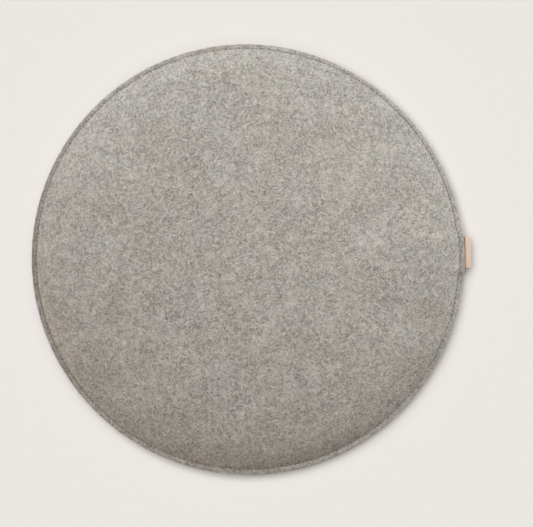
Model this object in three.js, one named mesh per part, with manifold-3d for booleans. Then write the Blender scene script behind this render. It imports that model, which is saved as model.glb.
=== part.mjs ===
// Round seat cushion: two discs of thick wool felt sewn together a few millimetres inside their cut edge,
// round a soft filling, with a folded leather tab caught in the seam on the +X side.
// Millimetres, +Z up. The origin is the centre of the flat underside.

import * as THREE from 'three';
import { mergeVertices } from 'three/addons/utils/BufferGeometryUtils.js';
import Module from 'manifold-3d';

const wasm = await Module();
wasm.setup();

// Felt discs
const CUT_RADIUS = 189.6;        // mean radius of the cut edge
const SEAM_RADIUS = 185.6;       // radius of the stitched line
const SEAM_SHIFT = 0.56;         // the stitched circle sits this far off the cut circle
const SEAM_SHIFT_DEG = 117;      // towards this side, counted from +X
const FELT = 3;                  // thickness of one felt layer
const PINCH = 2.2;               // the same under the thread
const EDGE_ROUND = 0.6;          // worn corner of the cut edge
const EDGE_PARTING = 0.7;        // gap between the two layers at the cut edge
const PARTING_DEPTH = 2;         // how far that gap reaches in

// Filled body
const SEAM_HEIGHT = 15;          // height of the plane where the two discs meet
const TOP_HEIGHT = 41;           // crown of the cushion
const CROWN_POWER = 0.48;        // under 0.5 the crown is a little flatter than an ellipse
const SHOULDER = 3.5;            // extra height of the crown that falls away only close to the seam
const SHOULDER_POWER = 16;
const LIP = 0.9;                 // distance from the thread to where the felt starts to swell
const BASE_RADIUS = 112;         // the part of the underside that lies flat

// Hand-cut outline: how far the cut edge leaves a true circle
const EDGE_WAVES = [
  { lobes: 1, swing: 0.28, peakDeg: 176 },
  { lobes: 2, swing: 0.62, peakDeg: 149 },
  { lobes: 3, swing: 0.18, peakDeg: 116 },
  { lobes: 4, swing: 0.19, peakDeg: 92 },
];

// The stitched line is a little oval
const SEAM_WAVE = { lobes: 2, swing: 0.57, peakDeg: 152 };

// Leather tab
const LEATHER = 1.2;             // thickness of the leather
const TAB_WIDTH = 28.5;          // along the seam
const TAB_PROUD = 5.8;           // how far the fold stands out of the felt
const TAB_ROOT = 10.5;           // how far the two ends run in between the felt layers
const TAB_CENTRE_Y = 5.8;
const TAB_TURN_DEG = 1.2;
const GAP = 0.3;                 // clearance between pieces, and between the two ends of the tab
const TAB_SHOULDER = 9;          // the felt closes again over this length on each side of the tab
const TAB_PUSH = 0.9;            // the stitched line and the cut edge bend outwards this far at the tab

// Fineness
const SECTORS = 96;
const CROWN_RINGS = 14;
const BASE_RINGS = 9;

const CROWN = TOP_HEIGHT - SEAM_HEIGHT - PINCH;
const BELLY = SEAM_HEIGHT - PINCH;
const TAB_HALF_HEIGHT = LEATHER + GAP / 2;
const TAB_EDGE_X = edgeRadius(Math.asin(TAB_CENTRE_Y / CUT_RADIUS));

function smoothStep(share) {
  const s = THREE.MathUtils.clamp(share, 0, 1);
  return s * s * (3 - 2 * s);
}

// 1 beside the tab, falling to 0 a shoulder away from it
function nearTab(angle) {
  const along = Math.abs(Math.sin(angle) * CUT_RADIUS - TAB_CENTRE_Y);
  const away = (along - TAB_WIDTH / 2) / TAB_SHOULDER;
  return Math.cos(angle) > 0 ? 1 - smoothStep(away) : 0;
}

function waveAt(angle, { lobes, swing, peakDeg }) {
  return swing * Math.cos(lobes * (angle - THREE.MathUtils.degToRad(peakDeg)));
}

function edgeRadius(angle) {
  let radius = CUT_RADIUS + TAB_PUSH * nearTab(angle);
  for (const wave of EDGE_WAVES) {
    radius += waveAt(angle, wave);
  }
  return radius;
}

function seamRadius(angle) {
  const shift = SEAM_SHIFT * Math.cos(angle - THREE.MathUtils.degToRad(SEAM_SHIFT_DEG));
  return SEAM_RADIUS + shift + waveAt(angle, SEAM_WAVE) + TAB_PUSH * nearTab(angle);
}

// One section through the cushion, from the middle of the underside to the top of the crown.
// out: nominal radius, up: height over the seam plane, spread: share of the tab's thickness it moves by
function sectionRows() {
  const rows = [{ out: 0, up: -SEAM_HEIGHT, spread: 0 }];
  const lip = SEAM_RADIUS - LIP;
  for (let ring = 0; ring <= BASE_RINGS; ring += 1) {
    const turn = (ring / BASE_RINGS) * (Math.PI / 2);
    const drop = Math.cos(turn);
    const out = BASE_RADIUS + (lip - BASE_RADIUS) * Math.sin(turn);
    rows.push({ out, up: -PINCH - BELLY * drop, spread: drop - 1 });
  }
  const flange = [
    { out: SEAM_RADIUS, up: PINCH },
    { out: SEAM_RADIUS + LIP, up: PINCH + EDGE_ROUND },
    { out: CUT_RADIUS - EDGE_ROUND, up: FELT + EDGE_PARTING / 2 },
    { out: CUT_RADIUS, up: FELT },
    { out: CUT_RADIUS, up: EDGE_PARTING / 2 },
  ];
  for (const { out, up } of flange) {
    rows.push({ out, up: -up, spread: -1 });
  }
  rows.push({ out: CUT_RADIUS - PARTING_DEPTH, up: 0, spread: 0 });
  for (const { out, up } of flange.toReversed()) {
    rows.push({ out, up, spread: 1 });
  }
  for (let ring = CROWN_RINGS; ring >= 0; ring -= 1) {
    const reach = Math.sin((ring / CROWN_RINGS) * (Math.PI / 2));
    const swell = (1 - reach * reach) ** CROWN_POWER;
    const shoulder = 1 - reach ** SHOULDER_POWER;
    const up = PINCH + (CROWN - SHOULDER) * swell + SHOULDER * shoulder;
    rows.push({ out: lip * reach, up, spread: 1 - swell });
  }
  return rows;
}

function feltBody() {
  const rows = sectionRows();
  const profile = rows.map(({ out, up }) => new THREE.Vector2(out, up));
  const geometry = new THREE.LatheGeometry(profile, SECTORS);
  geometry.rotateX(Math.PI / 2);
  const points = geometry.attributes.position;
  for (let index = 0; index < points.count; index += 1) {
    const { out, up, spread } = rows[index % rows.length];
    const angle = Math.atan2(points.getY(index), points.getX(index));
    const seam = seamRadius(angle);
    const flangeShare = (out - SEAM_RADIUS) / (CUT_RADIUS - SEAM_RADIUS);
    const inside = (out / SEAM_RADIUS) * seam;
    const radius = out <= SEAM_RADIUS ? inside : seam + flangeShare * (edgeRadius(angle) - seam);
    const z = SEAM_HEIGHT + up + spread * nearTab(angle) * TAB_HALF_HEIGHT;
    points.setXYZ(index, radius * Math.cos(angle), radius * Math.sin(angle), z);
  }
  return geometry;
}

function placeAtTab(geometry) {
  geometry.rotateZ(THREE.MathUtils.degToRad(TAB_TURN_DEG));
  geometry.translate(TAB_EDGE_X, TAB_CENTRE_Y, SEAM_HEIGHT);
  return geometry;
}

// The room between the felt layers that the two ends of the tab lie in
function tabSlot() {
  const reach = TAB_ROOT + GAP + TAB_PROUD;
  const slot = new THREE.BoxGeometry(reach, TAB_WIDTH + 2 * GAP, 2 * (TAB_HALF_HEIGHT + GAP));
  slot.translate(TAB_PROUD - reach / 2, 0, 0);
  return placeAtTab(slot);
}

// A strip of leather folded once, the fold outwards and the two ends lying against each other
function foldedStrip() {
  const fold = TAB_PROUD - TAB_HALF_HEIGHT;
  const quarter = Math.PI / 2;
  const section = new THREE.Shape();
  section.moveTo(-TAB_ROOT, -TAB_HALF_HEIGHT);
  section.lineTo(fold, -TAB_HALF_HEIGHT);
  section.absarc(fold, 0, TAB_HALF_HEIGHT, -quarter, quarter, false);
  section.lineTo(-TAB_ROOT, TAB_HALF_HEIGHT);
  section.lineTo(-TAB_ROOT, GAP / 2);
  section.lineTo(fold, GAP / 2);
  section.absarc(fold, 0, GAP / 2, quarter, -quarter, true);
  section.lineTo(-TAB_ROOT, -GAP / 2);
  section.closePath();
  const sweep = { depth: TAB_WIDTH, bevelEnabled: false, curveSegments: 8 };
  const strip = new THREE.ExtrudeGeometry(section, sweep);
  strip.rotateX(Math.PI / 2);
  strip.translate(0, TAB_WIDTH / 2, 0);
  return placeAtTab(strip);
}

function toSolid(geometry) {
  const bare = geometry.clone();
  bare.deleteAttribute('normal');
  bare.deleteAttribute('uv');
  const merged = mergeVertices(bare);
  return new wasm.Manifold(new wasm.Mesh({
    numProp: 3,
    vertProperties: new Float32Array(merged.attributes.position.array),
    triVerts: new Uint32Array(merged.index.array),
  }));
}

function toGeometry(solid) {
  const mesh = solid.getMesh();
  const geometry = new THREE.BufferGeometry();
  geometry.setAttribute('position', new THREE.BufferAttribute(new Float32Array(mesh.vertProperties), 3));
  geometry.setIndex(new THREE.BufferAttribute(new Uint32Array(mesh.triVerts), 1));
  geometry.computeVertexNormals();
  return geometry;
}

function named(name, geometry, material) {
  const mesh = new THREE.Mesh(geometry, material);
  mesh.name = name;
  return mesh;
}

const greyFelt = new THREE.MeshStandardMaterial({ color: 0xa49f97, roughness: 0.95, metalness: 0 });
const tanLeather = new THREE.MeshStandardMaterial({ color: 0xe2c8b2, roughness: 0.6, metalness: 0 });

const cushion = toGeometry(toSolid(feltBody()).subtract(toSolid(tabSlot())));

const seatCushion = new THREE.Group();
seatCushion.add(named('felt_cushion', cushion, greyFelt));
seatCushion.add(named('leather_tab', foldedStrip(), tanLeather));

export default seatCushion;
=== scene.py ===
import math

import bpy
import numpy as np
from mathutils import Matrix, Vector, interpolate, noise
from mathutils.bvhtree import BVHTree


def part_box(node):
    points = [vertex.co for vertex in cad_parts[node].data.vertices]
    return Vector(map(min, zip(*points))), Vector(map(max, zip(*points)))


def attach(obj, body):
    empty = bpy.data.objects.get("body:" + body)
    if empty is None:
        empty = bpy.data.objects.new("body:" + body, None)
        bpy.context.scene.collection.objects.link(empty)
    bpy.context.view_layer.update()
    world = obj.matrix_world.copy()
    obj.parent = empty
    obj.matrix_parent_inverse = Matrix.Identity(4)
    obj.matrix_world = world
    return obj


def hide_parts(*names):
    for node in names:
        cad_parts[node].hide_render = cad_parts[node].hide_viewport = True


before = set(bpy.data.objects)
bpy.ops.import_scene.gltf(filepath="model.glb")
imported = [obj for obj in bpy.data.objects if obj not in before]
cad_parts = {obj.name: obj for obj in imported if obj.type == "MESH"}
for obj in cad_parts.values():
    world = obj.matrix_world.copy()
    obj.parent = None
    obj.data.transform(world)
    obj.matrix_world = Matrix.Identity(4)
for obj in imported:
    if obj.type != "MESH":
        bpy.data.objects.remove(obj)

# A round seat cushion seen from straight above: two discs of thick grey wool felt, sewn together
# just inside their raw edges round a soft filling, with a folded leather tab caught in the seam.

MM = 0.001
scene = bpy.context.scene
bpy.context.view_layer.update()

# Felt discs, cut by hand with slow waves and sewn on a line that is nearly a circle
CUT_RADIUS = 189.6 * MM
SEAM_RADIUS = 185.6 * MM
SEAM_SHIFT = 0.56 * MM
SEAM_SHIFT_ANGLE = math.radians(117)
SEAM_WAVE = {"lobes": 2, "swing": 0.57 * MM, "peak": math.radians(152)}
EDGE_WAVES = (
    {"lobes": 1, "swing": 0.28 * MM, "peak": math.radians(176)},
    {"lobes": 2, "swing": 0.62 * MM, "peak": math.radians(149)},
    {"lobes": 3, "swing": 0.18 * MM, "peak": math.radians(116)},
    {"lobes": 4, "swing": 0.19 * MM, "peak": math.radians(92)},
)

# Flange outside the stitched line: PINCH is half its thickness, PARTING and LAYER_GAP are half the
# opening between its two layers, at the edge and inside, and LIP is the width of the stitched trough
PINCH = 2.6 * MM
LIP = 0.3 * MM
PARTING = 0.35 * MM
PARTING_DEPTH = 2.2 * MM
LAYER_GAP = 0.15 * MM
FLANGE_DROOP = 0.7 * MM
FLANGE_DROOP_TOWARDS = math.radians(12)
EDGE_ROUGHNESS = 0.16 * MM
FRAY_SIZE = 1.6 * MM

# Painted shade: the flange is darker round this side in the photograph, so its colour is darkened there; it
# fades along the rim and at the seam
PAINTED_SHADE_SIDE = math.radians(176)
PAINTED_SHADE_CLOSENESS = 8
PAINTED_SHADE_FROM = 0.4

# Filled body: a crown that rises steeply over its last millimetres, and a flat base
SEAM_HEIGHT = 15 * MM
TOP_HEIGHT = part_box("felt_cushion")[1].z
CROWN = TOP_HEIGHT - SEAM_HEIGHT - PINCH
CROWN_POWER = 0.48
SEAM_EASE = 0.05
SHOULDER = 3.5 * MM
SHOULDER_POWER = 16
BASE_RADIUS = 112 * MM
BELLY = SEAM_HEIGHT - PINCH
SOFT_LUMPS = (
    {"size": 34 * MM, "height": 0.30 * MM},
    {"size": 9 * MM, "height": 0.07 * MM},
)

# Leather tab, a strip folded once: it stands proud of the cut edge, and its roots lie in a slot
LEATHER = 1.2 * MM
TAB_GAP = 0.3 * MM
TAB_HALF_HEIGHT = LEATHER + TAB_GAP / 2
TAB_WIDTH = 28.5 * MM
TAB_PROUD = 5.8 * MM
TAB_ROOT = 10.5 * MM
TAB_CENTRE_Y = 5.8 * MM
TAB_TURN = math.radians(1.2)
TAB_SHOULDER = 9 * MM
TAB_PUSH = 0.9 * MM
TAB_SLOT = TAB_ROOT + 0.8 * MM
FOLD_BULGE = 0.04 * MM
FOLD_BULGE_LENGTH = 3.2 * MM
WORN_CORNER = 0.28 * MM
WEAR_LENGTH = 3 * MM
ROUNDING = {"lower": 0.95 * MM, "upper": 0.45 * MM}
ROUNDING_POWER = 14
RIPPLE = 0.10 * MM
RIPPLE_LENGTH = 4.1 * MM
RIPPLE_PHASE = 0.8
FOLD_NARROWING = 0.012
CUT_SIDE_FROM = 0.985
LEATHER_MARK = Vector((191.75, -2.55, 16.4)) * MM
LEATHER_MARK_RADIUS = 0.5 * MM
# Where the painted shadow at the seam and the painted shade on the fold lie
SEAM_SHADOW_TO = 1.35 * MM
SEAM_SHADOW_FADE = 0.5 * MM
PAINTED_FOLD_FROM = 2.8 * MM
PAINTED_FOLD_LENGTH = 2.2 * MM

# Sewing; the two plies of a thread are measured in shares of its thickness
STITCHES = 304
STEPS_PER_STITCH = 4
THREAD = 0.42 * MM
THREAD_LIFT = 0.1 * MM
PLY_OFFSET = 0.24
PLY_RADIUS = 0.29
STITCH_SKEW = 0.06
NEEDLE_DIMPLE = 0.3 * MM
NEEDLE_REACH = 0.4
NEEDLE_HOLE = 0.34 * MM
SEAM_VALUES_TO = 6 * MM

# Loose fibres: how each kind bends, in shares of its length, how many stand on each side of the
# felt (1 the top, 0 the raw edge, -1 the base), and their least height over the floor
FIBRE_BENDS = (
    {"sideways": 0.35, "rise": 0.10},
    {"sideways": -0.45, "rise": 0.22},
    {"sideways": 0.7, "rise": 0.05},
    {"sideways": -0.15, "rise": 0.3},
)
FUZZ = {
    "loose_fibres_top": {"Side": 1.0, "Per square metre": 8e4, "Length": 4.6 * MM, "Seed": 21},
    "loose_fibres_edge": {"Side": 0.0, "Per square metre": 4e5, "Length": 2.2 * MM, "Seed": 22, "Lift": 0.7},
    "loose_fibres_base": {"Side": -1.0, "Per square metre": 4e4, "Length": 4.6 * MM, "Seed": 23},
}
LEAST_HEIGHT = 0.05 * MM

# Fineness of the felt's mesh: close steps at the rim, opening out inwards
TOP_STEPS = {"rim": 1.12 * MM, "middle": 3.0 * MM}
BASE_STEPS = {"rim": 2.5 * MM, "middle": 4.5 * MM}
FINE_RIM = 10 * MM
WIDENING = 60 * MM
LEAST_SPACING = 0.94 * MM
FEWEST_POINTS = 19
COARSE_STEP = 6 * MM

# Swelling: how slack the cloth is cut here and there, how far a point may move, what is held
# still, and the share of the unevenness that the crown takes on
CLOTH_STEPS = 20
START_SHARE = 0.9
UNEVEN_SIZE = 36 * MM
LEAST_SLACK = 0.008
MOST_SLACK = 0.013
MOST_SWELL = 5 * MM
UNEVENNESS = 0.55
SWELL_STARTS = 2 * MM
SWELL_FULL = 22 * MM
PINNED_RIM = 3 * MM
PINNED_BELOW = 1.8 * MM
EVENING_ROUNDS = 30

# Framing: what one pixel of the 533 by 527 picture covers at the height of the cushion's outline,
# and the point under the picture's centre
PICTURE_WIDTH = 533
PIXEL = 0.88 * MM
OUTLINE_HEIGHT = SEAM_HEIGHT + 3 * MM
VIEW_CENTRE_X = 16.5 * MM
VIEW_CENTRE_Y = -3.5 * MM
LENS_MM = 100
SENSOR_MM = 36

# Studio: softboxes and windows light the cushion, the floor has lamps of its own high above it,
# and the room gives a little light all round and a pale wall behind. A softbox has its power in
# watts, the others theirs in watts a square metre
FLOOR_COLOUR = (0.83, 0.797, 0.768, 1)
FLOOR_HALF = 3.0
SOFTBOXES = (
    {"name": "softbox_right", "azimuth": 15, "elevation": 47, "power": 8.33, "colour": (1, 0.965, 0.908)},
    {"name": "softbox_upper_left", "azimuth": 135, "elevation": 36, "power": 5.3, "colour": (0.86, 0.912, 1)},
)
SOFTBOX_SIZE = 0.5
SOFTBOX_DISTANCE = 1.2
WINDOWS = (
    {"name": "window_left", "azimuth": 180, "elevation": 20, "power": 1.86, "colour": (1, 0.91, 0.779)},
    {"name": "window_top_right", "azimuth": 60, "elevation": 17, "power": 1.78, "colour": (0.82, 0.93, 1)},
)
WINDOW_SOFTNESS = math.radians(16)
FLOOR_LAMPS = (
    {"name": "floor_lamp_top", "azimuth": 90, "elevation": 72, "power": 1.106},
    {"name": "floor_lamp_left", "azimuth": 180, "elevation": 72, "power": 0.933},
    {"name": "floor_lamp_upper_left", "azimuth": 135, "elevation": 60, "power": 0.625},
    {"name": "floor_lamp_upper_right", "azimuth": 45, "elevation": 60, "power": 0.265},
    {"name": "floor_lamp_bottom", "azimuth": 270, "elevation": 60, "power": 0.211},
)
FLOOR_LAMP_SOFTNESS = math.radians(25)
ROOM_COLOUR = (1, 0.98, 0.96, 1)
SKY = 0.08
WALL = 0.8


# Shape of the cushion

def smooth_step(share):
    share = np.clip(share, 0, 1)
    return share * share * (3 - 2 * share)


def near_tab(angle):
    """1 beside the tab, falling to 0 a shoulder away from it."""
    along = np.abs(np.sin(angle) * CUT_RADIUS - TAB_CENTRE_Y)
    away = (along - TAB_WIDTH / 2) / TAB_SHOULDER
    return np.where(np.cos(angle) > 0, 1 - smooth_step(away), 0)


def wave_at(angle, lobes, swing, peak):
    return swing * np.cos(lobes * (angle - peak))


def edge_radius(angle):
    return CUT_RADIUS + sum(wave_at(angle, **wave) for wave in EDGE_WAVES) + TAB_PUSH * near_tab(angle)


def seam_radius(angle):
    shift = SEAM_SHIFT * np.cos(angle - SEAM_SHIFT_ANGLE)
    return SEAM_RADIUS + shift + wave_at(angle, **SEAM_WAVE) + TAB_PUSH * near_tab(angle)


def crown_rise(reach):
    """Height of the top over the seam plane; reach runs from 0 in the middle to 1 at the seam."""
    def fullness(share):
        return (share + SEAM_EASE) ** CROWN_POWER - SEAM_EASE**CROWN_POWER
    dome = (CROWN - SHOULDER) * fullness(1 - reach**2) / fullness(1)
    return PINCH + dome + SHOULDER * (1 - reach**SHOULDER_POWER)


def belly_drop(reach):
    """Depth of the underside below the seam plane: flat in the middle, curving up to the seam."""
    flat = BASE_RADIUS / (SEAM_RADIUS - LIP)
    across = np.clip((reach - flat) / (1 - flat), 0, 1)
    return PINCH + BELLY * np.sqrt(1 - across**2)


def ring(up, **places):
    """One ring of points. reach scales the stitched circle, share goes from it to the cut edge,
    inset is a true distance outwards, up is the distance from the seam plane, spread is the share
    of the tab's thickness that moves it, and slot the share of the tab's depth. loose, hole and
    raw say how far it takes part in the swelling, the needle holes and the cut edge."""
    spec = dict.fromkeys(("share", "inset", "slot", "loose", "hole", "raw"), 0.0)
    return spec | {"up": up, "reach": 1.0, "spread": 1.0, "side": 1} | places


def body_rings(height_over_seam, rim, middle):
    """Rings from the seam to the middle, spaced along the curved surface."""
    reach = np.sin(np.linspace(math.pi / 2, 0, 4000))
    out_to = reach * SEAM_RADIUS
    up = height_over_seam(reach)
    along = np.concatenate([[0], np.cumsum(np.hypot(np.diff(out_to), np.diff(up)))])
    rings, place = [], rim
    while place < along[-1] - middle:
        at = np.interp(place, along, reach)
        lift = float(height_over_seam(at))
        level = 1 - (lift - PINCH) / (float(height_over_seam(0.0)) - PINCH)
        loose = float(smooth_step((place - SWELL_STARTS) / SWELL_FULL))
        rings.append(ring(lift, reach=at, inset=-LIP * at, spread=level, loose=loose))
        place += rim + (middle - rim) * smooth_step((place - FINE_RIM) / WIDENING)
    return rings


def flange_rings():
    """Rings from the parting between the two layers, round the raw edge, to the stitched line."""
    hidden = [
        ring(LAYER_GAP, share=1, inset=-PARTING_DEPTH, slot=1),
        ring(LAYER_GAP + 0.03 * MM, share=1, inset=-1.4 * MM, slot=0.75),
        ring(LAYER_GAP + 0.08 * MM, share=1, inset=-0.7 * MM, slot=0.4),
    ]
    raw_edge = [
        ring(PARTING, share=1, inset=-0.16 * MM, raw=0.6),
        ring(PARTING + 0.3 * MM, share=1, inset=0.02 * MM, raw=1),
        ring(PARTING + 0.8 * MM, share=1, inset=0.05 * MM, raw=1),
        ring(PARTING + 1.3 * MM, share=1, inset=0.04 * MM, raw=1),
        ring(PINCH - 0.45 * MM, share=1, raw=1),
        ring(PINCH - 0.20 * MM, share=1, inset=-0.09 * MM, raw=0.9),
        ring(PINCH - 0.05 * MM, share=1, inset=-0.26 * MM, raw=0.8),
        ring(PINCH + 0.02 * MM, share=1, inset=-0.55 * MM, raw=0.5),
        ring(PINCH + 0.05 * MM, share=1, inset=-0.95 * MM, raw=0.3),
    ]
    face = [
        ring(PINCH + 0.09 * MM, share=0.60, inset=-0.1 * MM, raw=0.1),
        ring(PINCH + 0.09 * MM, share=0.42),
        ring(PINCH + 0.07 * MM, share=0.24, inset=0.2 * MM),
        ring(PINCH + 0.04 * MM, share=0.08, inset=0.4 * MM, hole=0.1),
        ring(PINCH + 0.02 * MM, inset=0.42 * MM, hole=0.3),
        ring(PINCH, inset=0.20 * MM, hole=0.8),
        ring(PINCH, hole=1),
        ring(PINCH + 0.04 * MM, inset=-0.14 * MM, hole=0.8),
        ring(PINCH + 0.12 * MM, inset=-0.27 * MM, hole=0.4),
    ]
    return hidden + raw_edge + face


def cushion_rings():
    """All rings of the cushion, from the middle of the underside round the edge to the crown."""
    top = flange_rings() + body_rings(crown_rise, **TOP_STEPS)
    base = flange_rings() + body_rings(belly_drop, **BASE_STEPS)
    return [spec | {"side": -1} for spec in reversed(base)] + top


def ring_size(spec):
    return spec["reach"] * (SEAM_RADIUS + spec["share"] * (CUT_RADIUS - SEAM_RADIUS))


def ring_count(spec):
    """Points on a ring: whole steps per stitch at the rim, halved again and again inwards."""
    count = STITCHES * STEPS_PER_STITCH
    if spec["side"] < 0:
        count //= 2
    while count > FEWEST_POINTS and math.tau * ring_size(spec) / count < LEAST_SPACING:
        count //= 2
    return count


def flange_droop(angle):
    """How far the cut edge hangs below the stitched line on the side of the tab."""
    return FLANGE_DROOP * np.maximum(0, np.cos(angle - FLANGE_DROOP_TOWARDS))


def ring_points(spec, count):
    angle = np.arange(count) * (math.tau / count)
    seam = seam_radius(angle)
    beside = near_tab(angle)
    flange = spec["share"] * (edge_radius(angle) - seam)
    radius = spec["reach"] * (seam + flange) + spec["inset"]
    radius -= spec["slot"] * beside * (TAB_SLOT - PARTING_DEPTH)
    droop = spec["share"] * (1 - beside) * flange_droop(angle)
    z = SEAM_HEIGHT - droop + spec["side"] * (spec["up"] + spec["spread"] * beside * TAB_HALF_HEIGHT)
    return np.stack([radius * np.cos(angle), radius * np.sin(angle), z], axis=1)


def between_rings(first, n_first, second, n_second):
    """Faces between two rings of points, where the finer one may have twice as many."""
    if n_first < n_second:
        return [face[::-1] for face in between_rings(second, n_second, first, n_first)]
    faces = []
    for k in range(n_second):
        here, after = second + k, second + (k + 1) % n_second
        if n_first == 2 * n_second:
            a, b, c = first + 2 * k, first + 2 * k + 1, first + (2 * k + 2) % n_first
            faces += [(here, a, b), (here, b, after), (after, b, c)]
        else:
            faces.append((here, first + k, first + (k + 1) % n_first, after))
    return faces


def skin(rings, finest=None):
    """Closes a list of rings into one body with a pole at each end. Returns the points, the ring
    that each belongs to, and the faces."""
    counts = [min(ring_count(spec), finest or STITCHES * STEPS_PER_STITCH) for spec in rings]
    for k in range(1, len(counts)):
        counts[k] = min(counts[k], 2 * counts[k - 1])
    for k in range(len(counts) - 2, -1, -1):
        counts[k] = min(counts[k], 2 * counts[k + 1])
    starts = np.concatenate([[0], np.cumsum(counts)]).astype(int)
    points = [ring_points(spec, count) for spec, count in zip(rings, counts)]
    faces = []
    for k in range(len(rings) - 1):
        faces += between_rings(int(starts[k]), counts[k], int(starts[k + 1]), counts[k + 1])
    for pole, k in ((int(starts[-1]), 0), (int(starts[-1]) + 1, len(rings) - 1)):
        points.append(np.array([[0.0, 0.0, points[k][:, 2].mean()]]))
        for j in range(counts[k]):
            here, after = int(starts[k]) + j, int(starts[k]) + (j + 1) % counts[k]
            faces.append((pole, here, after) if k else (pole, after, here))
    owner = np.concatenate([np.repeat(np.arange(len(rings)), counts), [0, len(rings) - 1]])
    return np.concatenate(points), owner, faces


def new_object(name, data):
    made = bpy.data.objects.new(name, data)
    scene.collection.objects.link(made)
    return made


def mesh_object(name, points, faces, material=None):
    mesh = bpy.data.meshes.new(name)
    mesh.from_pydata([tuple(p) for p in points], [], faces)
    mesh.polygons.foreach_set("use_smooth", [True] * len(mesh.polygons))
    mesh.update()
    if material:
        mesh.materials.append(material)
    return new_object(name, mesh)


def evaluated_mesh(piece):
    graph = bpy.context.evaluated_depsgraph_get()
    return bpy.data.meshes.new_from_object(piece.evaluated_get(graph), depsgraph=graph)


def mesh_array(items, kind):
    flat = np.empty(len(items) * 3)
    items.foreach_get(kind, flat)
    return flat.reshape(-1, 3)


# Filling: the felt swells under pressure inside its pinned seam

def swelling():
    """Blows up a coarse copy of the body as cloth, a little slacker here and tighter there. Returns
    its shape at the start as a search tree, its faces, its points, and how far each point moved."""
    top = [ring(0)] + body_rings(crown_rise, COARSE_STEP, COARSE_STEP)
    base = body_rings(belly_drop, COARSE_STEP, COARSE_STEP)
    rings = [spec | {"side": -1} for spec in reversed(base)] + top
    points, _, faces = skin(rings, finest=STITCHES // 2)
    points[:, 2] = SEAM_HEIGHT + (points[:, 2] - SEAM_HEIGHT) * START_SHARE
    body = mesh_object("swelling_copy", points, faces)
    out_to = np.hypot(points[:, 0], points[:, 1])
    held = (out_to > SEAM_RADIUS - PINNED_RIM) | (points[:, 2] < PINNED_BELOW)
    pinned = body.vertex_groups.new(name="pinned")
    pinned.add([int(i) for i in np.nonzero(held)[0]], 1.0, "REPLACE")
    slack = body.vertex_groups.new(name="slack")
    for index, level in enumerate(noise_at(points, UNEVEN_SIZE, seed=5)):
        slack.add([index], float(np.clip(0.5 + level, 0, 1)), "REPLACE")
    cloth = body.modifiers.new("cloth", "CLOTH").settings
    cloth.vertex_group_mass = "pinned"
    cloth.vertex_group_shrink = "slack"
    cloth.shrink_min = -MOST_SLACK
    cloth.shrink_max = -LEAST_SLACK
    cloth.quality = 6
    cloth.mass = 0.4
    cloth.tension_stiffness = 30
    cloth.compression_stiffness = 30
    cloth.bending_stiffness = 8
    cloth.use_pressure = True
    cloth.uniform_pressure_force = 4
    cloth.effector_weights.gravity = 0
    for step in range(1, CLOTH_STEPS + 1):
        scene.frame_set(step)
    after = mesh_array(evaluated_mesh(body).vertices, "co")
    scene.frame_set(1)
    tree = BVHTree.FromPolygons([Vector(p) for p in points], faces)
    bpy.data.objects.remove(body)
    return tree, faces, points, after - points


def evened(values, ends):
    """Averages values over neighbouring points, again and again; ends are the two ends of each edge."""
    count = len(values)
    degree = np.bincount(ends.ravel(), minlength=count)[:, None]
    for _ in range(EVENING_ROUNDS):
        total = np.zeros_like(values)
        for axis in range(values.shape[1]):
            total[:, axis] += np.bincount(ends[:, 0], values[ends[:, 1], axis], count)
            total[:, axis] += np.bincount(ends[:, 1], values[ends[:, 0], axis], count)
        values = total / degree
    return values


def swell(points, owner, loose, ends):
    """Moves the loose points as the simulated cloth moved, less the mean of each ring, so that the
    crown keeps its own profile and takes on a share of the cloth's unevenness."""
    tree, corners, before, moves = swelling()
    angle = np.arctan2(points[:, 1], points[:, 0])
    shifts = np.zeros_like(points)
    for index in np.nonzero(loose > 0)[0]:
        place, _, face, _ = tree.find_nearest(Vector(points[index]))
        weights = interpolate.poly_3d_calc([Vector(before[c]) for c in corners[face]], place)
        x, y, z = sum(w * moves[c] for w, c in zip(weights, corners[face]))
        cosine, sine = math.cos(angle[index]), math.sin(angle[index])
        shifts[index] = x * cosine + y * sine, y * cosine - x * sine, z
    for axis in range(3):
        mean = np.bincount(owner, shifts[:, axis]) / np.bincount(owner)
        shifts[:, axis] -= mean[owner]
    length = np.linalg.norm(shifts, axis=1, keepdims=True)
    shifts *= UNEVENNESS * np.minimum(1, MOST_SWELL / np.maximum(length, 1e-9))
    out_by, along_by, up_by = shifts.T * loose
    x_by = out_by * np.cos(angle) - along_by * np.sin(angle)
    y_by = out_by * np.sin(angle) + along_by * np.cos(angle)
    return points + evened(np.stack([x_by, y_by, up_by], axis=1), ends)


def noise_at(points, size, seed):
    offset = Vector((seed, 2.7 * seed, 5.1 * seed))
    return np.array([noise.noise(Vector(p) / size + offset) for p in points])


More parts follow.
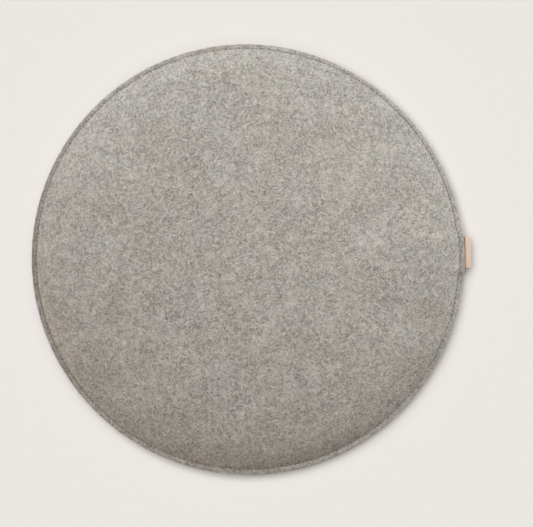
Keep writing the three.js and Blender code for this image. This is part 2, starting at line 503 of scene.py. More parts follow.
def felt_cushion(material):
    """The two felt discs and what they hold, as one closed body."""
    rings = cushion_rings()
    points, owner, faces = skin(rings)
    angle = np.arctan2(points[:, 1], points[:, 0])

    def of_ring(key):
        return np.array([spec[key] for spec in rings])[owner]

    side, hole, raw, loose = of_ring("side"), of_ring("hole"), of_ring("raw"), of_ring("loose")
    to_hole = np.abs((angle * STITCHES / math.tau + 0.5) % 1 - 0.5)
    punched = hole * np.clip(1 - to_hole / NEEDLE_REACH, 0, 1)
    points[:, 2] -= side * NEEDLE_DIMPLE * punched
    outwards = np.stack([np.cos(angle), np.sin(angle), 0 * angle], axis=1)
    edge = np.nonzero(raw > 0)[0]
    frayed = noise_at(points[edge], FRAY_SIZE, seed=3) + 0.6 * noise_at(points[edge], FRAY_SIZE / 2, seed=4)
    points[edge] += outwards[edge] * (EDGE_ROUGHNESS * raw[edge] * frayed)[:, None]
    body = mesh_object("filled_felt", points, faces, material)
    ends = np.empty(len(body.data.edges) * 2, dtype=int)
    body.data.edges.foreach_get("vertices", ends)
    points = swell(points, owner, loose, ends.reshape(-1, 2))
    normals = mesh_array(body.data.vertices, "normal")
    free = np.nonzero(loose > 0)[0]
    for number, lump in enumerate(SOFT_LUMPS):
        rise = noise_at(points[free], lump["size"], seed=11 + number) * lump["height"] * loose[free]
        points[free] += normals[free] * rise[:, None]
    points[:, 2] = np.maximum(points[:, 2], 0)
    body.data.vertices.foreach_set("co", points.ravel())
    to_seam = np.hypot(points[:, 0], points[:, 1]) - seam_radius(angle)
    keep_values(body, "past_seam", np.clip(to_seam, -SEAM_VALUES_TO, SEAM_VALUES_TO))
    # Painted shade on the flange round one side, fading along the rim
    on_flange = np.maximum(hole, np.minimum(1, of_ring("share") / PAINTED_SHADE_FROM))
    keep_values(body, "painted_flange_shade", on_flange * painted_shade_share(angle))
    keep_values(body, "face_side", np.where((raw > 0) | (of_ring("slot") > 0), 0, side))
    body.data.update()
    return body


def painted_shade_share(angle):
    """1 where the painted shade on the flange is darkest, fading away along the rim."""
    return np.maximum(0, np.cos(angle - PAINTED_SHADE_SIDE)) ** PAINTED_SHADE_CLOSENESS


def keep_values(piece, name, values):
    made = piece.data.attributes.new(name, "FLOAT", "POINT")
    made.data.foreach_set("value", np.asarray(values, dtype=np.float32))


# Node trees

def socket_named(sockets, name):
    if isinstance(name, int):
        return sockets[name]
    return next(s for s in sockets if s.enabled and s.name == name)


def feed(tree, target, value):
    """Gives an input a value, or links another node's output to it."""
    if isinstance(value, bpy.types.NodeSocket):
        tree.links.new(value, target)
    else:
        target.default_value = value


def add(tree, kind, inputs=None, **settings):
    """Adds one node: settings are its own properties, inputs its sockets by name or number."""
    made = tree.nodes.new(kind)
    for name, value in settings.items():
        setattr(made, name, value)
    for name, value in (inputs or {}).items():
        feed(tree, socket_named(made.inputs, name), value)
    return made


def out(made, name=None):
    return next(s for s in made.outputs if s.enabled and name in (None, s.name))


def result_of(tree, kind, inputs=None, **settings):
    """Adds one node and returns its first output."""
    return out(add(tree, kind, inputs, **settings))


def maths(tree, operation, *values):
    return result_of(tree, "ShaderNodeMath", dict(enumerate(values)), operation=operation)


def times(tree, first, second):
    return maths(tree, "MULTIPLY", first, second)


def vector_maths(tree, operation, *values):
    return result_of(tree, "ShaderNodeVectorMath", dict(enumerate(values)), operation=operation)


def scaled(tree, vector, amount):
    return result_of(tree, "ShaderNodeVectorMath", {0: vector, "Scale": amount}, operation="SCALE")


def moved(tree, vector, by):
    return vector_maths(tree, "ADD", vector, by)


def combine(tree, x, y, z):
    return result_of(tree, "ShaderNodeCombineXYZ", {"X": x, "Y": y, "Z": z})


def span(tree, value, low, high, to_low=0.0, to_high=1.0):
    """Maps low to high onto to_low to to_high, and holds the ends."""
    inputs = {"Value": value, "From Min": low, "From Max": high, "To Min": to_low, "To Max": to_high}
    return result_of(tree, "ShaderNodeMapRange", inputs, interpolation_type="SMOOTHSTEP")


def noise_span(tree, value, to_low=0.0, to_high=1.0):
    """Maps the range that a noise mostly keeps to onto to_low to to_high."""
    return span(tree, value, 0.3, 0.7, to_low, to_high)


def blended(tree, share, first, second, kind="MIX"):
    inputs = {"Factor": share, "A": first, "B": second}
    return result_of(tree, "ShaderNodeMix", inputs, data_type="RGBA", blend_type=kind)


def noise_value(tree, vector, scale, detail=2.0, roughness=0.5, name="Fac"):
    inputs = {"Vector": vector, "Scale": scale, "Detail": detail, "Roughness": roughness}
    return out(add(tree, "ShaderNodeTexNoise", inputs), name)


def own_value(tree, name):
    """Reads a value stored on the piece's own points."""
    return out(add(tree, "ShaderNodeAttribute", attribute_name=name), "Fac")


def new_group(kind, name, inputs, outputs):
    """A node group with named sockets. Returns the tree, its inputs by name and its output node."""
    tree = bpy.data.node_groups.new(name, kind)
    for label, socket_kind, value in inputs:
        made = tree.interface.new_socket(name=label, in_out="INPUT", socket_type=socket_kind)
        if value is not None:
            made.default_value = value
    for label, socket_kind in outputs:
        tree.interface.new_socket(name=label, in_out="OUTPUT", socket_type=socket_kind)
    given = {s.name: s for s in tree.nodes.new("NodeGroupInput").outputs}
    return tree, given, tree.nodes.new("NodeGroupOutput")


def new_material(name):
    material = bpy.data.materials.new(name)
    material.use_nodes = True
    tree = material.node_tree
    tree.nodes.clear()
    shader = tree.nodes.new("ShaderNodeBsdfPrincipled")
    tree.links.new(shader.outputs["BSDF"], tree.nodes.new("ShaderNodeOutputMaterial").inputs["Surface"])
    return material, tree, shader


def object_place(tree):
    return out(tree.nodes.new("ShaderNodeTexCoord"), "Object")


def bumped(tree, height, distance, strength, normal=None):
    """The surface's normal, or another bump's, tilted by a height."""
    inputs = {"Strength": strength, "Distance": distance, "Height": height}
    if normal is not None:
        inputs["Normal"] = normal
    return result_of(tree, "ShaderNodeBump", inputs)


def set_shader(tree, shader, values):
    """Gives a shader's sockets their patterns and plain values, by name."""
    for name, value in values.items():
        feed(tree, shader.inputs[name], value)


# Materials

FLOAT, VECTOR = "NodeSocketFloat", "NodeSocketVector"
STRAND_TURNS = tuple(math.radians(a) for a in (8, 47, 83, 121, 158))
TANGLE = 0.004

# Greys of the felt: its two cloud shades, its darker patches, the painted shade inside a needle hole and the
# painted shade on one side of the flange
FELT_CLOUDS = (0.234, 0.213, 0.192, 1), (0.416, 0.383, 0.348, 1)
FELT_PATCH = (0.180, 0.162, 0.146, 1)
HOLE_SHADE = (0.075, 0.066, 0.057, 1)
PAINTED_SHADE_TINT = (0.68, 0.65, 0.62, 1)

# Wools of the melange, each laid over the one before; cover says how much its strands hide.
# Shifts set the patterns apart, so that no two of them run together
WOOL_SHIFTS = {"dark": (0.31, 0.17, 0.23), "fine dark": (0.53, 0.29, 0.11), "pale": (0, 0, 0),
               "fine pale": (0.13, 0.41, 0.07)}
WOOLS = {
    "dark": {"scale": 430.0, "stretch": 2.4, "cover": 0.68, "colour": (0.155, 0.138, 0.123, 1)},
    "fine dark": {"scale": 930.0, "stretch": 2.5, "cover": 0.62, "colour": (0.135, 0.119, 0.106, 1)},
    "pale": {"scale": 520.0, "stretch": 3.0, "cover": 0.64, "colour": (0.61, 0.572, 0.535, 1)},
    "fine pale": {"scale": 1050.0, "stretch": 3.5, "cover": 0.64, "colour": (0.67, 0.630, 0.588, 1)},
}

# Faint casts of colour in the wool: slow ones, then ones as small as a tuft
TINTS = (
    {"shift": (0.7, 0.4, 0.1), "scale": 55.0, "casts": ((1.011, 0.995, 0.992, 1), (0.989, 1.005, 0.998, 1))},
    {"shift": (0.2, 0.8, 0.5), "scale": 20.0, "casts": ((0.997, 0.999, 1.013, 1), (1.003, 1.001, 0.987, 1))},
    {"shift": (0.9, 0.1, 0.3), "scale": 170.0, "casts": ((1.009, 0.994, 1.007, 1), (0.991, 1.005, 0.990, 1))},
    {"shift": (0.4, 0.6, 0.2), "scale": 230.0, "casts": ((0.996, 1.0, 1.016, 1), (1.004, 1.0, 0.984, 1))},
)

FIBRE_DARKS = (0.24, 0.218, 0.19, 1), (0.40, 0.372, 0.332, 1)
FIBRE_PALE = (0.66, 0.63, 0.58, 1)
FIBRE_KINK = (0.30, 0.28, 0.25, 1)
THREAD_DYES = (0.345, 0.315, 0.285, 1), (0.395, 0.362, 0.328, 1)
THREAD_FUZZ = (0.50, 0.465, 0.425, 1)

# Leather, from its two tans to a painted shadow where it enters the seam and painted shade on its fold
TANS = (0.800, 0.604, 0.480, 1), (0.845, 0.657, 0.532, 1)
GROWTH_LINE = (0.68, 0.485, 0.36, 1)
GRAIN = (0.55, 0.36, 0.24, 1)
BURNISH = (0.50, 0.31, 0.20, 1)
# Painted shadow where the leather enters the seam under the felt's edge
SEAM_SHADOW_PAINT = (0.17, 0.07, 0.045, 1)
MARK_SHADE = (0.11, 0.05, 0.03, 1)
# Painted shade on the fold
PAINTED_FOLD_SHADE = (0.53, 0.365, 0.27, 1)


def tangled_wool():
    """Ridges of stretched noise in several directions, bent by a slower noise."""
    tree, given, result = new_group(
        "ShaderNodeTree", "tangled wool",
        [("Vector", VECTOR, None), ("Scale", FLOAT, 400.0), ("Stretch", FLOAT, 3.0),
         ("Tangle", FLOAT, 0.002)],
        [("Strands", FLOAT)])
    slow = times(tree, given["Scale"], 0.3)
    bend = noise_value(tree, given["Vector"], slow, 1.0, name="Color")
    bend = moved(tree, bend, (-0.5, -0.5, -0.5))
    bent = moved(tree, given["Vector"], scaled(tree, bend, given["Tangle"]))
    thin = maths(tree, "DIVIDE", given["Scale"], given["Stretch"])
    size = combine(tree, thin, given["Scale"], given["Scale"])
    highest = None
    for number, turn in enumerate(STRAND_TURNS):
        inputs = {"Vector": bent, "Angle": turn}
        turned = result_of(tree, "ShaderNodeVectorRotate", inputs, rotation_type="Z_AXIS")
        drawn = vector_maths(tree, "MULTIPLY", turned, size)
        level = noise_value(tree, moved(tree, drawn, (7.3 * number, 0, 3.1 * number)), 1.0, 1.0)
        highest = level if highest is None else maths(tree, "MAXIMUM", highest, level)
    tree.links.new(span(tree, highest, 0.5, 0.82), result.inputs["Strands"])
    return tree


def needle_holes(tree, place):
    """1 in each needle hole of the stitched line, 0 elsewhere; no two holes are quite alike."""
    parts = add(tree, "ShaderNodeSeparateXYZ", {"Vector": place})
    turn = maths(tree, "ARCTAN2", out(parts, "Y"), out(parts, "X"))
    stitch = times(tree, turn, STITCHES / math.tau)
    to_hole = maths(tree, "ABSOLUTE", maths(tree, "SUBTRACT", stitch, maths(tree, "ROUND", stitch)))
    along = times(tree, to_hole, math.tau * SEAM_RADIUS / STITCHES)
    stray = noise_span(tree, noise_value(tree, place, 330.0, 1.0), -0.2 * MM, 0.2 * MM)
    across = maths(tree, "ADD", own_value(tree, "past_seam"), stray)
    squares = [maths(tree, "POWER", value, 2.0) for value in (along, across)]
    away = maths(tree, "SQRT", maths(tree, "ADD", *squares))
    uneven = noise_value(tree, moved(tree, place, (0.2, 0.6, 0.9)), 210.0, 1.0)
    away = maths(tree, "DIVIDE", away, span(tree, uneven, 0.32, 0.68, 0.7, 1.3))
    return span(tree, away, NEEDLE_HOLE, 2 * NEEDLE_HOLE, 0.9, 0.0)


def felt_material(wool):
    """Thick wool felt in a warm grey melange: cream and brown-grey wool in a mid grey, soft clouds,
    painted shade in the needle holes of the stitched line, and painted shade darkening the flange on one
    side."""
    material, tree, shader = new_material("grey wool felt")
    place = object_place(tree)
    clouds = noise_value(tree, place, 46.0, 2.5, 0.55)
    patches = noise_value(tree, moved(tree, place, (0.31, 0.17, 0.23)), 125.0)
    base = blended(tree, noise_span(tree, clouds), *FELT_CLOUDS)
    base = blended(tree, span(tree, patches, 0.32, 0.68, 0.0, 0.78), base, FELT_PATCH)
    strands = {}
    for name, kind in WOOLS.items():
        inputs = {"Vector": moved(tree, place, WOOL_SHIFTS[name]), "Tangle": TANGLE}
        inputs |= {"Scale": kind["scale"], "Stretch": kind["stretch"]}
        strands[name] = result_of(tree, "ShaderNodeGroup", inputs, node_tree=wool)
        cover = times(tree, strands[name], kind["cover"])
        base = blended(tree, cover, base, kind["colour"])
    for tint in TINTS:
        share = span(tree, noise_value(tree, moved(tree, place, tint["shift"]), tint["scale"]), 0.34, 0.66)
        base = blended(tree, 1.0, base, blended(tree, share, *tint["casts"]), "MULTIPLY")
    # Painted shade: the flange's colour is darkened round one side
    painted_flange_shade = blended(tree, 1.0, base, PAINTED_SHADE_TINT, "MULTIPLY")
    base = blended(tree, own_value(tree, "painted_flange_shade"), base, painted_flange_shade)
    # Painted shade inside each needle hole
    base = blended(tree, needle_holes(tree, place), base, HOLE_SHADE)
    relief = maths(tree, "SUBTRACT", strands["pale"], times(tree, strands["dark"], 0.8))
    soft = bumped(tree, patches, 0.9 * MM, 0.6)
    strand_relief = bumped(tree, relief, 0.22 * MM, 0.7, soft)
    fine = noise_value(tree, place, 2600.0, 2.0, 0.6)
    set_shader(tree, shader, {
        "Base Color": base,
        "Roughness": span(tree, strands["pale"], 0, 1, 0.95, 0.82),
        "Specular IOR Level": 0.25,
        "Sheen Weight": 0.18,
        "Sheen Roughness": 0.55,
        "Normal": bumped(tree, fine, 0.12 * MM, 0.5, strand_relief),
    })
    return material


def fibre_material():
    """Single wool fibres that stand off the felt; each has its own tone."""
    material, tree, shader = new_material("loose wool fibres")
    tone = own_value(tree, "tone")
    colour = blended(tree, span(tree, tone, 0.0, 0.45), *FIBRE_DARKS)
    colour = blended(tree, span(tree, tone, 0.5, 1.0), colour, FIBRE_PALE)
    kinks = noise_value(tree, object_place(tree), 3000.0, 1.0)
    colour = blended(tree, noise_span(tree, kinks, 0.0, 0.35), colour, FIBRE_KINK)
    set_shader(tree, shader, {
        "Base Color": colour,
        "Roughness": noise_span(tree, kinks, 0.7, 0.9),
        "Specular IOR Level": 0.3,
        "Sheen Weight": 0.2,
        "Normal": bumped(tree, kinks, 0.03 * MM, 0.5),
    })
    return material


def thread_material():
    """Spun sewing thread in the felt's grey."""
    material, tree, shader = new_material("grey sewing thread")
    place = object_place(tree)
    fuzz = noise_value(tree, place, 3500.0, 3.0, 0.6)
    dye = noise_value(tree, place, 60.0)
    colour = blended(tree, noise_span(tree, dye), *THREAD_DYES)
    colour = blended(tree, span(tree, fuzz, 0.35, 0.7, 0.0, 0.5), colour, THREAD_FUZZ)
    set_shader(tree, shader, {
        "Base Color": colour,
        "Roughness": noise_span(tree, fuzz, 0.55, 0.75),
        "Sheen Weight": 0.15,
        "Normal": bumped(tree, fuzz, 0.05 * MM, 0.6),
    })
    return material


def leather_material():
    """Undyed vegetable-tanned leather: fine grain, faint growth lines, burnished cut sides, a painted
    shadow line where it enters the seam, one small mark and painted shade on the fold."""
    material, tree, shader = new_material("undyed tan leather")
    place = object_place(tree)
    inputs = {"Vector": place, "Scale": 1700.0, "Randomness": 0.9}
    cells = out(add(tree, "ShaderNodeTexVoronoi", inputs, feature="SMOOTH_F1"), "Distance")
    hide = noise_value(tree, place, 240.0, 3.0, 0.6)
    broad = noise_value(tree, place, 70.0)
    pores = noise_value(tree, place, 5200.0, 2.0, 0.7)
    to_mark = add(tree, "ShaderNodeVectorMath", {0: place, 1: tuple(LEATHER_MARK)}, operation="DISTANCE")
    away = maths(tree, "ADD", out(to_mark, "Value"), times(tree, hide, 0.5 * MM))
    colour = blended(tree, noise_span(tree, broad), *TANS)
    layers = (
        (span(tree, hide, 0.42, 0.72, 0.0, 0.3), GROWTH_LINE),
        (span(tree, cells, 0.25, 0.7, 0.0, 0.16), GRAIN),
        (times(tree, own_value(tree, "cut_side"), 0.55), BURNISH),
        # painted shadow where the leather enters the seam
        (times(tree, own_value(tree, "painted_seam_shadow"), 0.8), SEAM_SHADOW_PAINT),
        (span(tree, away, LEATHER_MARK_RADIUS * 0.5, LEATHER_MARK_RADIUS * 1.3, 0.85, 0.0), MARK_SHADE),
        # painted shade on the fold
        (times(tree, own_value(tree, "fold"), 0.45), PAINTED_FOLD_SHADE),
    )
    for cover, shade in layers:
        colour = blended(tree, cover, colour, shade)
    grain = bumped(tree, hide, 0.12 * MM, 0.4, bumped(tree, cells, 0.07 * MM, 0.6))
    set_shader(tree, shader, {
        "Base Color": colour,
        "Roughness": noise_span(tree, hide, 0.48, 0.62),
        "Specular IOR Level": 0.4,
        "Coat Weight": 0.04,
        "Coat Roughness": 0.4,
        "Normal": bumped(tree, pores, 0.02 * MM, 0.4, grain),
    })
    return material


def floor_material():
    material, tree, shader = new_material("pale paper floor")
    set_shader(tree, shader, {"Base Color": FLOOR_COLOUR, "Roughness": 0.95, "Specular IOR Level": 0.0})
    return material


# What repeats: stitches and loose fibres

GEOMETRY, INTEGER, MATERIAL = "NodeSocketGeometry", "NodeSocketInt", "NodeSocketMaterial"


def random_value(tree, low, high, seed, kind="FLOAT"):
    inputs = {"Min": low, "Max": high, "Seed": seed}
    return result_of(tree, "FunctionNodeRandomValue", inputs, data_type=kind)


def bow(tree, start, middle, end, steps):
    inputs = {"Resolution": steps, "Start": start, "Middle": middle, "End": end}
    return result_of(tree, "GeometryNodeCurveQuadraticBezier", inputs)


def round_section(tree, sides, radius):
    inputs = {"Resolution": sides, "Radius": radius}
    return result_of(tree, "GeometryNodeCurvePrimitiveCircle", inputs)


def tube(tree, curve, section, scale=1.0):
    inputs = {"Curve": curve, "Profile Curve": section, "Scale": scale, "Fill Caps": True}
    return result_of(tree, "GeometryNodeCurveToMesh", inputs)


def turned_by(tree, rotation, x, y, z):
    """A rotation with a further turn about its own axes."""
    turn = result_of(tree, "FunctionNodeEulerToRotation", {"Euler": combine(tree, x, y, z)})
    inputs = {"Rotation": rotation, "Rotate By": turn}
    return result_of(tree, "FunctionNodeRotateRotation", inputs, rotation_space="LOCAL")


def finish_tree(tree, instances, material, result):
    real = result_of(tree, "GeometryNodeRealizeInstances", {"Geometry": instances})
    smooth = result_of(tree, "GeometryNodeSetShadeSmooth", {"Geometry": real})
    painted = result_of(tree, "GeometryNodeSetMaterial", {"Geometry": smooth, "Material": material})
    tree.links.new(painted, result.inputs[0])
    return tree


def stitches_tree():
    """One sewn stitch of two twisted plies on each point of a line, its ends sunk in the felt."""
    tree, given, result = new_group(
        "GeometryNodeTree", "sewn stitches",
        [("Line", GEOMETRY, None), ("Length", FLOAT, 3.5 * MM), ("Thread", FLOAT, THREAD),
         ("Arch", FLOAT, 0.28 * MM), ("Sunk", FLOAT, 0.5 * MM), ("Twists", FLOAT, 1.5),
         ("Turned over", FLOAT, 0.0), ("Seed", INTEGER, 1), ("Material", MATERIAL, None)],
        [("Stitches", GEOMETRY)])
    half = times(tree, given["Length"], 0.5)
    sunk = times(tree, given["Sunk"], -1.0)
    lift = maths(tree, "ADD", times(tree, given["Arch"], 2.0), given["Sunk"])
    start = combine(tree, times(tree, half, -1.0), 0.0, sunk)
    spine = bow(tree, start, combine(tree, 0.0, 0.0, lift), combine(tree, half, 0.0, sunk), 7)
    along = out(tree.nodes.new("GeometryNodeSplineParameter"), "Factor")
    ply_offset = times(tree, given["Thread"], PLY_OFFSET)
    section = round_section(tree, 5, times(tree, given["Thread"], PLY_RADIUS))
    plies = tree.nodes.new("GeometryNodeJoinGeometry")
    for phase in (0.0, math.pi):
        turn = times(tree, times(tree, along, given["Twists"]), math.tau)
        turn = maths(tree, "ADD", turn, phase)
        offset = combine(tree, 0.0, maths(tree, "COSINE", turn), maths(tree, "SINE", turn))
        inputs = {"Geometry": spine, "Offset": scaled(tree, offset, ply_offset)}
        ply = result_of(tree, "GeometryNodeSetPosition", inputs)
        tree.links.new(tube(tree, ply, section), plies.inputs[0])
    line = result_of(tree, "GeometryNodeMeshToCurve", {"Mesh": given["Line"]})
    tangent = {"Vector": out(tree.nodes.new("GeometryNodeInputTangent"))}
    aligned = result_of(tree, "FunctionNodeAlignRotationToVector", tangent, axis="X", pivot_axis="Z")
    skew = random_value(tree, -STITCH_SKEW, STITCH_SKEW, given["Seed"])
    turned = turned_by(tree, aligned, given["Turned over"], 0.0, skew)
    size = random_value(tree, 0.94, 1.05, maths(tree, "ADD", given["Seed"], 5))
    inputs = {"Points": line, "Instance": out(plies), "Rotation": turned}
    inputs["Scale"] = combine(tree, size, 1.0, 1.0)
    placed = result_of(tree, "GeometryNodeInstanceOnPoints", inputs)
    return finish_tree(tree, placed, given["Material"], result)


def fibres_tree():
    """Short curved wool fibres scattered over one side of the felt, most of them lying nearly flat."""
    tree, given, result = new_group(
        "GeometryNodeTree", "loose fibres",
        [("Felt", GEOMETRY, None), ("Side", FLOAT, 1.0), ("Per square metre", FLOAT, 1e5),
         ("Length", FLOAT, 3.5 * MM), ("Thickness", FLOAT, 0.06 * MM), ("Lift", FLOAT, 0.3),
         ("Seed", INTEGER, 1), ("Material", MATERIAL, None)],
        [("Fibres", GEOMETRY)])
    seed = given["Seed"]
    faces = result_of(tree, "GeometryNodeInputNamedAttribute", {"Name": "face_side"}, data_type="FLOAT")
    here = maths(tree, "COMPARE", faces, given["Side"], 0.1)
    density = times(tree, here, given["Per square metre"])
    inputs = {"Mesh": given["Felt"], "Density": density, "Seed": seed}
    spread = add(tree, "GeometryNodeDistributePointsOnFaces", inputs)
    section = round_section(tree, 3, given["Thickness"])
    along = out(tree.nodes.new("GeometryNodeSplineParameter"), "Factor")
    taper = maths(tree, "SUBTRACT", 1.0, times(tree, along, 0.6))
    kinds = tree.nodes.new("GeometryNodeJoinGeometry")
    for bend in FIBRE_BENDS:
        sideways, rise = bend["sideways"], bend["rise"]
        middle = scaled(tree, (0.55, sideways, rise), given["Length"])
        end = scaled(tree, (0.9, sideways * 0.3, rise * 0.2), given["Length"])
        root = scaled(tree, (0.0, 0.0, -0.05), given["Length"])
        body = tube(tree, bow(tree, root, middle, end, 3), section, taper)
        kind = result_of(tree, "GeometryNodeGeometryToInstance", {"Geometry": body})
        tree.links.new(kind, kinds.inputs[0])
    spin = random_value(tree, 0.0, math.tau, maths(tree, "ADD", seed, 11))
    lowest = times(tree, given["Lift"], -1.0)
    tilt = random_value(tree, lowest, 0.08, maths(tree, "ADD", seed, 12))
    rotation = turned_by(tree, out(spread, "Rotation"), 0.0, tilt, spin)
    size = random_value(tree, 0.45, 1.35, maths(tree, "ADD", seed, 13))
    pick = random_value(tree, 0, len(FIBRE_BENDS) - 1, maths(tree, "ADD", seed, 14), "INT")
    inputs = {"Points": out(spread, "Points"), "Instance": out(kinds), "Pick Instance": True}
    inputs |= {"Instance Index": pick, "Rotation": rotation, "Scale": combine(tree, size, size, size)}
    placed = result_of(tree, "GeometryNodeInstanceOnPoints", inputs)
    tone = random_value(tree, 0.0, 1.0, maths(tree, "ADD", seed, 15))
    inputs = {"Geometry": placed, "Name": "tone", "Value": tone}
    settings = {"data_type": "FLOAT", "domain": "INSTANCE"}
    toned = result_of(tree, "GeometryNodeStoreNamedAttribute", inputs, **settings)
    return finish_tree(tree, toned, given["Material"], result)


def grown(name, mesh, tree, values):
    """Runs a node tree on a mesh and keeps its result as a plain mesh, held above the floor."""
    carrier = new_object("carrier", mesh)
    modifier = carrier.modifiers.new("made", "NODES")
    modifier.node_group = tree
    for item in tree.interface.items_tree:
        if item.item_type == "SOCKET" and item.name in values:
            modifier[item.identifier] = values[item.name]
    made = new_object(name, evaluated_mesh(carrier))
    made.data.name = name
    points = mesh_array(made.data.vertices, "co")
    points[:, 2] = np.maximum(points[:, 2], LEAST_HEIGHT)
    made.data.vertices.foreach_set("co", points.ravel())
    bpy.data.objects.remove(carrier)
    return made


def stitch_line(side):
    """The middle of each stitch, halfway between two needle holes, on one face of the felt."""
    angle = (np.arange(STITCHES) + 0.5) * (math.tau / STITCHES)
    radius = seam_radius(angle)
    up = PINCH + THREAD_LIFT + near_tab(angle) * TAB_HALF_HEIGHT
    line = bpy.data.meshes.new("stitch_line")
    points = zip(radius * np.cos(angle), radius * np.sin(angle), SEAM_HEIGHT + side * up)
    line.from_pydata(list(points), [(k, (k + 1) % STITCHES) for k in range(STITCHES)], [])
    return line


# Leather tab

def fold_path():
    """Middle line of the folded strip in its own section: along the upper leg, round the fold and
    back along the lower leg. Returns points and unit normals."""
    leg = (LEATHER + TAB_GAP) / 2
    round_fold = leg + FOLD_BULGE
    fold = TAB_PROUD - round_fold - LEATHER / 2
    upper = []
    for x in np.linspace(-TAB_ROOT, fold, 26):
        bulge = float(smooth_step((x - fold + FOLD_BULGE_LENGTH) / FOLD_BULGE_LENGTH))
        upper.append((x, leg + FOLD_BULGE * bulge))
    for turn in np.linspace(math.pi / 2, 0, 9)[1:]:
        upper.append((fold + round_fold * math.cos(turn), round_fold * math.sin(turn)))
    path = np.array(upper + [(x, -z) for x, z in reversed(upper[:-1])])
    along = np.gradient(path, axis=0)
    along /= np.linalg.norm(along, axis=1, keepdims=True)
    return path, np.stack([-along[:, 1], along[:, 0]], axis=1)


def strip_section():
    """Section across the strip: a flat rectangle with worn corners, as (across, thick) points."""
    half, thick, worn = TAB_WIDTH / 2, LEATHER / 2, WORN_CORNER
    quarter = np.linspace(0, math.pi / 2, 4)
    corner = [(half - worn + worn * math.sin(a), thick - worn + worn * math.cos(a)) for a in quarter]
    flat = [(x, thick) for x in np.linspace(-half + worn, half - worn, 24)[:-1]]
    side = flat + corner
    return np.array(side + [(-x, -z) for x, z in side])


def leather_tab(material):
    """A strip of leather folded once, swept along its own middle line."""
    path, normals = fold_path()
    section = strip_section()
    points, cut, seam_shadowed, folded = [], [], [], []
    for (x, z), (nx, nz) in zip(path, normals):
        wear = float(smooth_step((x - TAB_PROUD + WEAR_LENGTH) / WEAR_LENGTH))
        for across, thick in section:
            edge = abs(across) / (TAB_WIDTH / 2)
            corner = ROUNDING["lower" if across < 0 else "upper"]
            rounding = corner * edge**ROUNDING_POWER * wear
            ripple = RIPPLE * math.sin(across / RIPPLE_LENGTH + RIPPLE_PHASE) * wear
            narrowed = across * (1 - FOLD_NARROWING * wear)
            points.append((x + nx * thick - rounding + ripple, narrowed, z + nz * thick))
            cut.append(1.0 if edge > CUT_SIDE_FROM else 0.0)
            # Shares of the painted shadow at the seam and the painted shade on the fold
            seam_shadowed.append(float(smooth_step((SEAM_SHADOW_TO - x) / SEAM_SHADOW_FADE)))
            folded.append(float(smooth_step((x - TAB_PROUD + PAINTED_FOLD_FROM) / PAINTED_FOLD_LENGTH)))
    n = len(section)
    faces = []
    for row in range(len(path) - 1):
        for k in range(n):
            a, b = row * n + k, row * n + (k + 1) % n
            faces.append((a, a + n, b + n, b))
    faces += [tuple(range(n)), tuple(range((len(path) - 1) * n, len(path) * n))[::-1]]
    points = np.array(points)
    edge_x = edge_radius(np.arcsin(TAB_CENTRE_Y / CUT_RADIUS))
    turned_x = points[:, 0] * math.cos(TAB_TURN) - points[:, 1] * math.sin(TAB_TURN)
    turned_y = points[:, 0] * math.sin(TAB_TURN) + points[:, 1] * math.cos(TAB_TURN)
    placed = np.stack([turned_x + edge_x, turned_y + TAB_CENTRE_Y, points[:, 2] + SEAM_HEIGHT], axis=1)
    tab = mesh_object("folded_leather_tab", placed, faces, material)
    keep_values(tab, "cut_side", cut)
    # Painted shadow at the seam and painted shade on the fold
    keep_values(tab, "painted_seam_shadow", seam_shadowed)
    keep_values(tab, "fold", folded)
    return tab


# Studio

def add_lamp(kind, lit, name, azimuth, elevation, power, colour=(1, 1, 1), **settings):
    """Sets a lamp up facing the cushion; lit is the collection that says what it shines on."""
    lamp = bpy.data.lights.new(name, kind)
    lamp.energy = power
    lamp.color = colour
    for setting, value in settings.items():
        setattr(lamp, setting, value)
    light = new_object(name, lamp)
    turn, rise = math.radians(azimuth), math.radians(elevation)
    towards = Vector((math.cos(rise) * math.cos(turn), math.cos(rise) * math.sin(turn), math.sin(rise)))
    light.location = towards * SOFTBOX_DISTANCE
    light.rotation_euler = towards.to_track_quat("Z", "Y").to_euler()
    light.light_linking.receiver_collection = lit


def lit_by_choice(name, floor, state):
    """A collection for lamps that shine on the floor alone, or on all but the floor."""
    made = bpy.data.collections.new(name)
    made.objects.link(floor)
    made.collection_objects[0].light_linking.link_state = state
    return made


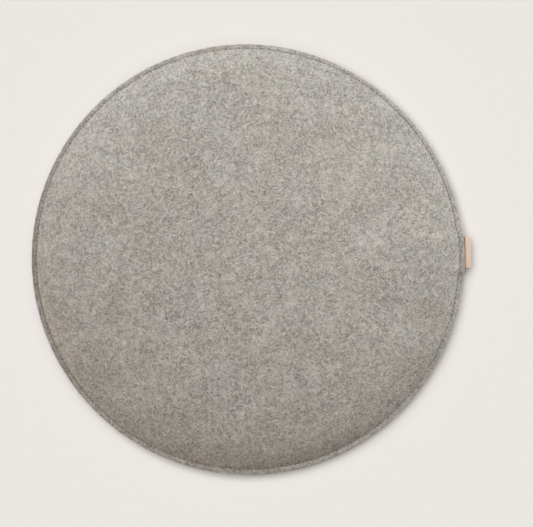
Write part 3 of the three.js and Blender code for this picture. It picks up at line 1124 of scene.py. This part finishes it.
def set_studio():
    corners = [(x * FLOOR_HALF, y * FLOOR_HALF, 0) for x, y in ((-1, -1), (1, -1), (1, 1), (-1, 1))]
    floor = mesh_object("floor", corners, [(0, 1, 2, 3)], floor_material())
    on_floor = lit_by_choice("floor alone", floor, "INCLUDE")
    on_cushion = lit_by_choice("all but the floor", floor, "EXCLUDE")
    for softbox in SOFTBOXES:
        add_lamp("AREA", on_cushion, **softbox, size=SOFTBOX_SIZE)
    for window in WINDOWS:
        add_lamp("SUN", on_cushion, **window, angle=WINDOW_SOFTNESS)
    for lamp in FLOOR_LAMPS:
        add_lamp("SUN", on_floor, **lamp, angle=FLOOR_LAMP_SOFTNESS)
    world = bpy.data.worlds.new("soft room")
    world.use_nodes = True
    room = world.node_tree
    background = room.nodes["Background"]
    background.inputs["Color"].default_value = ROOM_COLOUR
    seen = out(room.nodes.new("ShaderNodeLightPath"), "Is Camera Ray")
    feed(room, background.inputs["Strength"], maths(room, "MULTIPLY_ADD", seen, WALL - SKY, SKY))
    scene.world = world
    scene.view_settings.view_transform = "Standard"


def set_camera():
    lens = bpy.data.cameras.new("camera")
    lens.lens = LENS_MM
    lens.sensor_width = SENSOR_MM
    lens.sensor_fit = "HORIZONTAL"
    camera = new_object("camera", lens)
    distance = PIXEL * PICTURE_WIDTH * LENS_MM / SENSOR_MM
    camera.location = (VIEW_CENTRE_X, VIEW_CENTRE_Y, OUTLINE_HEIGHT + distance)
    scene.camera = camera


# Putting the cushion together

set_camera()
set_studio()

felt = felt_cushion(felt_material(tangled_wool()))
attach(felt, "root")
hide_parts("felt_cushion")

tab = leather_tab(leather_material())
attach(tab, "root")
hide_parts("leather_tab")

sewing = stitches_tree()
thread = thread_material()
for name, side, turned_over, seed in (("stitches_top", 1, 0.0, 3), ("stitches_base", -1, math.pi, 8)):
    values = {"Turned over": turned_over, "Seed": seed, "Material": thread}
    stitches = grown(name, stitch_line(side), sewing, values)
    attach(stitches, "root")

loose_wool = fibres_tree()
fibre = fibre_material()
for name, values in FUZZ.items():
    fibres = grown(name, felt.data.copy(), loose_wool, values | {"Material": fibre})
    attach(fibres, "root")
